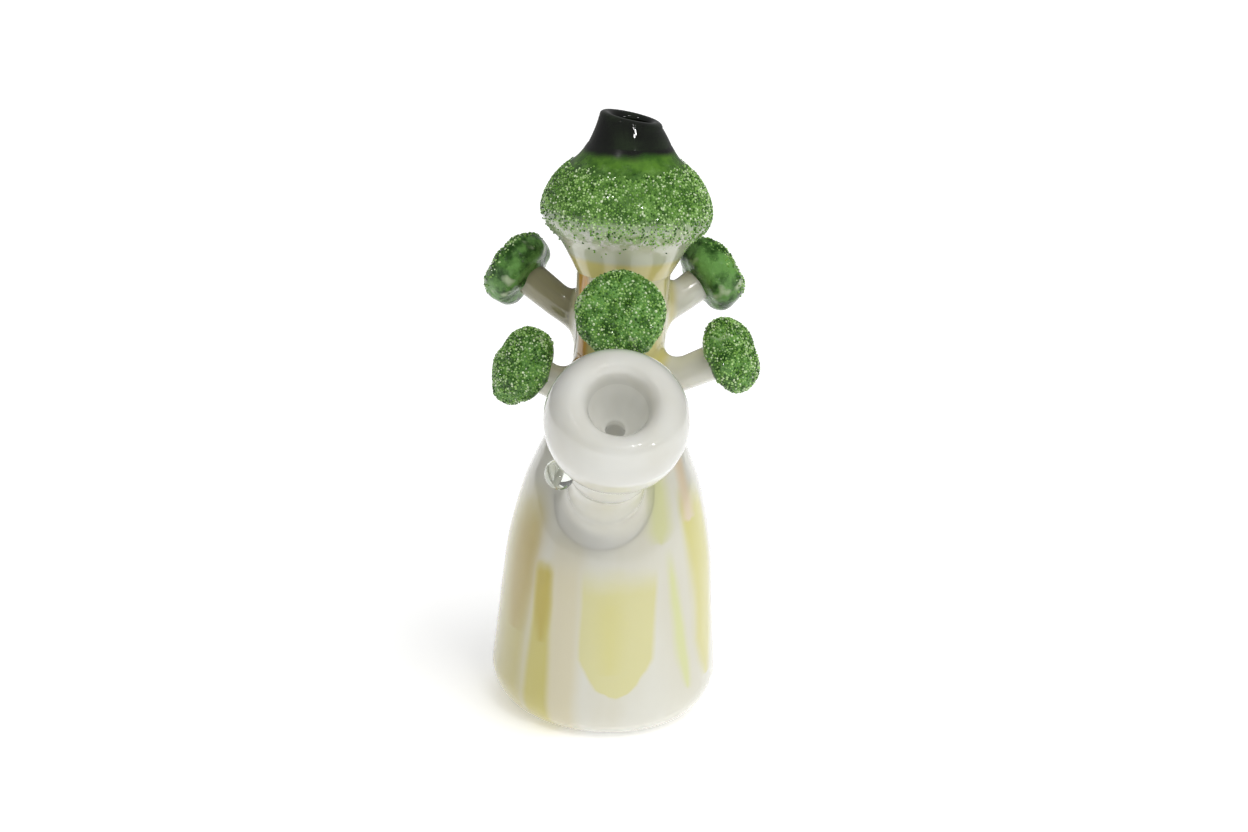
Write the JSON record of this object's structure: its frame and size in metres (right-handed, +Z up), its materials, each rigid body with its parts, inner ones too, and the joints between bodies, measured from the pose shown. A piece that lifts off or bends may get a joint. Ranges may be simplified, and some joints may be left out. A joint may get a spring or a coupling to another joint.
{
  "type": "glass water pipe",
  "caption": "Blown-glass water pipe shaped like a broccoli head: hollow streaked base, flared green crown, stalked florets and a lift-out bowl.",
  "frame": {"origin": "middle of the flat underside of the base, on the body's axis", "axes": "+Z up along the body's axis to the mouthpiece, -Y to the front where the bowl leans out, +X to the right seen from the front"},
  "size_m": [0.0728, 0.0952, 0.16],
  "materials": {
    "streaked_opal": "glossy opal glass with yellow and lime vertical streaks",
    "white_opal": "glossy white opal glass",
    "green_frit": "crushed green glass grains fused to the surface",
    "black_glass": "glossy near-black glass",
    "clear_glass": "polished clear glass"
  },
  "bodies": {
    "root": {"base_vessel": "streaked_opal", "crown": "green_frit", "mouthpiece": "black_glass", "joint_socket": "white_opal", "bowl": "white_opal", "bowl_knob": "clear_glass", "downstem": "clear_glass", "stalk_front": "white_opal", "stalk_lower_left": "white_opal", "stalk_lower_right": "white_opal", "stalk_upper_left": "white_opal", "stalk_upper_right": "white_opal", "cap_front": "green_frit", "cap_lower_left": "green_frit", "cap_lower_right": "green_frit", "cap_upper_left": "green_frit", "cap_upper_right": "green_frit"}
  },
  "joints": []
}
